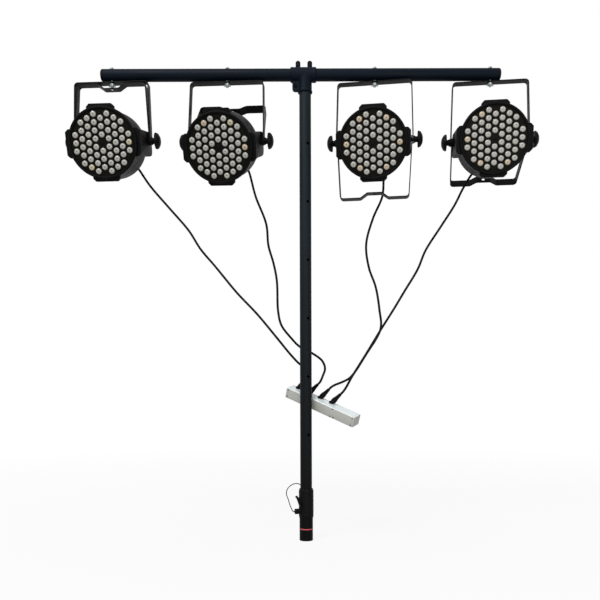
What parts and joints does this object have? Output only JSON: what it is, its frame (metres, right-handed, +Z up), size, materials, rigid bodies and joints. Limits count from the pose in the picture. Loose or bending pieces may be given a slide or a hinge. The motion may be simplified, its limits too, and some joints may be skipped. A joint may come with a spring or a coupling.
{
  "type": "lighting t-bar stand",
  "caption": "Upper section of a lighting stand: a pole with a crossbar in a tee clamp, round LED lamps hung from it in double yokes, and a power strip with their cords.",
  "frame": {"origin": "centre of the flat lower face of the base plug, on the pole's axis", "axes": "+Z up the pole, +X along the crossbar to the right as seen from in front, -Y the way the lamps face"},
  "size_m": [1.4084, 0.3125, 1.432],
  "materials": {
    "black_steel": "satin powder coat",
    "black_plastic": "moulded",
    "black_shell": "black paint on a casting",
    "lens_plate": "satin",
    "zinc": "zinc plated",
    "aluminium": "pale anodised",
    "rubber": "matt"
  },
  "bodies": {
    "stand": {"lower_tube": "black_steel", "base_plug": "black_plastic", "clamp_collar": "black_plastic", "pin_lanyard": "black_plastic"},
    "collar_knob": {"collar_knob": "black_plastic"},
    "locking_pin": {"locking_pin": "black_plastic"},
    "grip_bush": {"grip_bush": "black_plastic"},
    "mast": {"pole": "black_steel", "tee_casting": "black_steel", "tee_screw_left": "black_steel", "tee_screw_right": "black_steel", "tee_clamp_screw": "black_steel", "crossbar": "black_steel", "crossbar_cap_left": "black_plastic", "crossbar_cap_right": "black_plastic", "power_strip": "aluminium", "lamp_1_hanger_bolt": "zinc", "lamp_1_plug": "rubber", "lamp_1_cord": "rubber", "lamp_2_hanger_bolt": "zinc", "lamp_2_plug": "rubber", "lamp_2_cord": "rubber", "lamp_3_hanger_bolt": "zinc", "lamp_3_plug": "rubber", "lamp_3_cord": "rubber", "lamp_4_hanger_bolt": "zinc", "lamp_4_plug": "rubber", "lamp_4_cord": "rubber"},
    "lamp_1_yoke": {"lamp_1_hanging_yoke": "black_steel"},
    "lamp_1_head": {"lamp_1_housing": "black_shell", "lamp_1_bezel": "black_shell", "lamp_1_lens_plate": "lens_plate", "lamp_1_gland": "black_plastic"},
    "lamp_1_floor_bracket": {"lamp_1_floor_yoke": "black_steel"},
    "lamp_1_knob_left": {"lamp_1_knob_left": "black_plastic"},
    "lamp_1_knob_right": {"lamp_1_knob_right": "black_plastic"},
    "lamp_2_yoke": {"lamp_2_hanging_yoke": "black_steel"},
    "lamp_2_head": {"lamp_2_housing": "black_shell", "lamp_2_bezel": "black_shell", "lamp_2_lens_plate": "lens_plate", "lamp_2_gland": "black_plastic"},
    "lamp_2_floor_bracket": {"lamp_2_floor_yoke": "black_steel"},
    "lamp_2_knob_left": {"lamp_2_knob_left": "black_plastic"},
    "lamp_2_knob_right": {"lamp_2_knob_right": "black_plastic"},
    "lamp_3_yoke": {"lamp_3_hanging_yoke": "black_steel"},
    "lamp_3_head": {"lamp_3_housing": "black_shell", "lamp_3_bezel": "black_shell", "lamp_3_lens_plate": "lens_plate", "lamp_3_gland": "black_plastic"},
    "lamp_3_floor_bracket": {"lamp_3_floor_yoke": "black_steel"},
    "lamp_3_knob_left": {"lamp_3_knob_left": "black_plastic"},
    "lamp_3_knob_right": {"lamp_3_knob_right": "black_plastic"},
    "lamp_4_yoke": {"lamp_4_hanging_yoke": "black_steel"},
    "lamp_4_head": {"lamp_4_housing": "black_shell", "lamp_4_bezel": "black_shell", "lamp_4_lens_plate": "lens_plate", "lamp_4_gland": "black_plastic"},
    "lamp_4_floor_bracket": {"lamp_4_floor_yoke": "black_steel"},
    "lamp_4_knob_left": {"lamp_4_knob_left": "black_plastic"},
    "lamp_4_knob_right": {"lamp_4_knob_right": "black_plastic"}
  },
  "joints": [
    {"name": "collar_knob_turn", "type": "hinge", "parent": "stand", "child": "collar_knob", "pos_m": [0, 0, 0.117], "axis": [-0.766, -0.6428, 0], "continuous": true},
    {"name": "locking_pin_pull", "type": "slide", "parent": "stand", "child": "locking_pin", "axis": [-0.9397, -0.342, 0], "range_m": [0, 0.006], "deforming": ["pin_lanyard"]},
    {"name": "pole_turn", "type": "hinge", "parent": "stand", "child": "grip_bush", "pos_m": [0, 0, 0.12], "axis": [0, 0, 1], "range_deg": [-180, 180]},
    {"name": "pole_height", "type": "slide", "parent": "grip_bush", "child": "mast", "axis": [0, 0, 1], "range_m": [0, 0.09]},
    {"name": "lamp_1_pan", "type": "hinge", "parent": "mast", "child": "lamp_1_yoke", "pos_m": [-0.577, 0, 1.39], "axis": [-0.0174, 0, 0.9998], "range_deg": [-90, 90], "deforming": ["lamp_1_cord"]},
    {"name": "lamp_1_tilt", "type": "hinge", "parent": "lamp_1_yoke", "child": "lamp_1_head", "pos_m": [-0.57352, 0, 1.19083], "axis": [0.9996, -0.0227, 0.0175], "range_deg": [-70, 73], "deforming": ["lamp_1_cord"]},
    {"name": "lamp_1_floor_bracket_swing", "type": "hinge", "parent": "lamp_1_yoke", "child": "lamp_1_floor_bracket", "pos_m": [-0.57352, 0, 1.19083], "axis": [0.9996, -0.0227, 0.0175], "range_deg": [-120, 75]},
    {"name": "lamp_1_knob_left_turn", "type": "hinge", "parent": "lamp_1_head", "child": "lamp_1_knob_left", "pos_m": [-0.57352, 0, 1.19083], "axis": [0.9996, -0.0227, 0.0175], "continuous": true},
    {"name": "lamp_1_knob_right_turn", "type": "hinge", "parent": "lamp_1_head", "child": "lamp_1_knob_right", "pos_m": [-0.57352, 0, 1.19083], "axis": [0.9996, -0.0227, 0.0175], "continuous": true},
    {"name": "lamp_2_pan", "type": "hinge", "parent": "mast", "child": "lamp_2_yoke", "pos_m": [-0.232, 0, 1.39], "axis": [0.0192, 0, 0.9998], "range_deg": [-90, 90], "deforming": ["lamp_2_cord"]},
    {"name": "lamp_2_tilt", "type": "hinge", "parent": "lamp_2_yoke", "child": "lamp_2_head", "pos_m": [-0.23582, 0, 1.19084], "axis": [0.9947, -0.1011, -0.0191], "range_deg": [-112, 66], "deforming": ["lamp_2_cord"]},
    {"name": "lamp_2_floor_bracket_swing", "type": "hinge", "parent": "lamp_2_yoke", "child": "lamp_2_floor_bracket", "pos_m": [-0.23582, 0, 1.19084], "axis": [0.9947, -0.1011, -0.0191], "range_deg": [-90, 110]},
    {"name": "lamp_2_knob_left_turn", "type": "hinge", "parent": "lamp_2_head", "child": "lamp_2_knob_left", "pos_m": [-0.23582, 0, 1.19084], "axis": [0.9947, -0.1011, -0.0191], "continuous": true},
    {"name": "lamp_2_knob_right_turn", "type": "hinge", "parent": "lamp_2_head", "child": "lamp_2_knob_right", "pos_m": [-0.23582, 0, 1.19084], "axis": [0.9947, -0.1011, -0.0191], "continuous": true},
    {"name": "lamp_3_pan", "type": "hinge", "parent": "mast", "child": "lamp_3_yoke", "pos_m": [0.208, 0, 1.39], "axis": [0.0035, 0, 1], "range_deg": [-90, 90], "deforming": ["lamp_3_cord"]},
    {"name": "lamp_3_tilt", "type": "hinge", "parent": "lamp_3_yoke", "child": "lamp_3_head", "pos_m": [0.2073, 0, 1.1908], "axis": [0.989, -0.1478, -0.0034], "range_deg": [-106, 12], "deforming": ["lamp_3_cord"]},
    {"name": "lamp_3_floor_bracket_swing", "type": "hinge", "parent": "lamp_3_yoke", "child": "lamp_3_floor_bracket", "pos_m": [0.2073, 0, 1.1908], "axis": [0.989, -0.1478, -0.0034], "range_deg": [-15, 18]},
    {"name": "lamp_3_knob_left_turn", "type": "hinge", "parent": "lamp_3_head", "child": "lamp_3_knob_left", "pos_m": [0.2073, 0, 1.1908], "axis": [0.989, -0.1478, -0.0034], "continuous": true},
    {"name": "lamp_3_knob_right_turn", "type": "hinge", "parent": "lamp_3_head", "child": "lamp_3_knob_right", "pos_m": [0.2073, 0, 1.1908], "axis": [0.989, -0.1478, -0.0034], "continuous": true},
    {"name": "lamp_4_pan", "type": "hinge", "parent": "mast", "child": "lamp_4_yoke", "pos_m": [0.553, 0, 1.39], "axis": [0.0105, 0, 0.9999], "range_deg": [-90, 90], "deforming": ["lamp_4_cord"]},
    {"name": "lamp_4_tilt", "type": "hinge", "parent": "lamp_4_yoke", "child": "lamp_4_head", "pos_m": [0.55091, 0, 1.19081], "axis": [0.9912, -0.1323, -0.0104], "range_deg": [-100, 78], "deforming": ["lamp_4_cord"]},
    {"name": "lamp_4_floor_bracket_swing", "type": "hinge", "parent": "lamp_4_yoke", "child": "lamp_4_floor_bracket", "pos_m": [0.55091, 0, 1.19081], "axis": [0.9912, -0.1323, -0.0104], "range_deg": [-12, 180]},
    {"name": "lamp_4_knob_left_turn", "type": "hinge", "parent": "lamp_4_head", "child": "lamp_4_knob_left", "pos_m": [0.55091, 0, 1.19081], "axis": [0.9912, -0.1323, -0.0104], "continuous": true},
    {"name": "lamp_4_knob_right_turn", "type": "hinge", "parent": "lamp_4_head", "child": "lamp_4_knob_right", "pos_m": [0.55091, 0, 1.19081], "axis": [0.9912, -0.1323, -0.0104], "continuous": true}
  ]
}
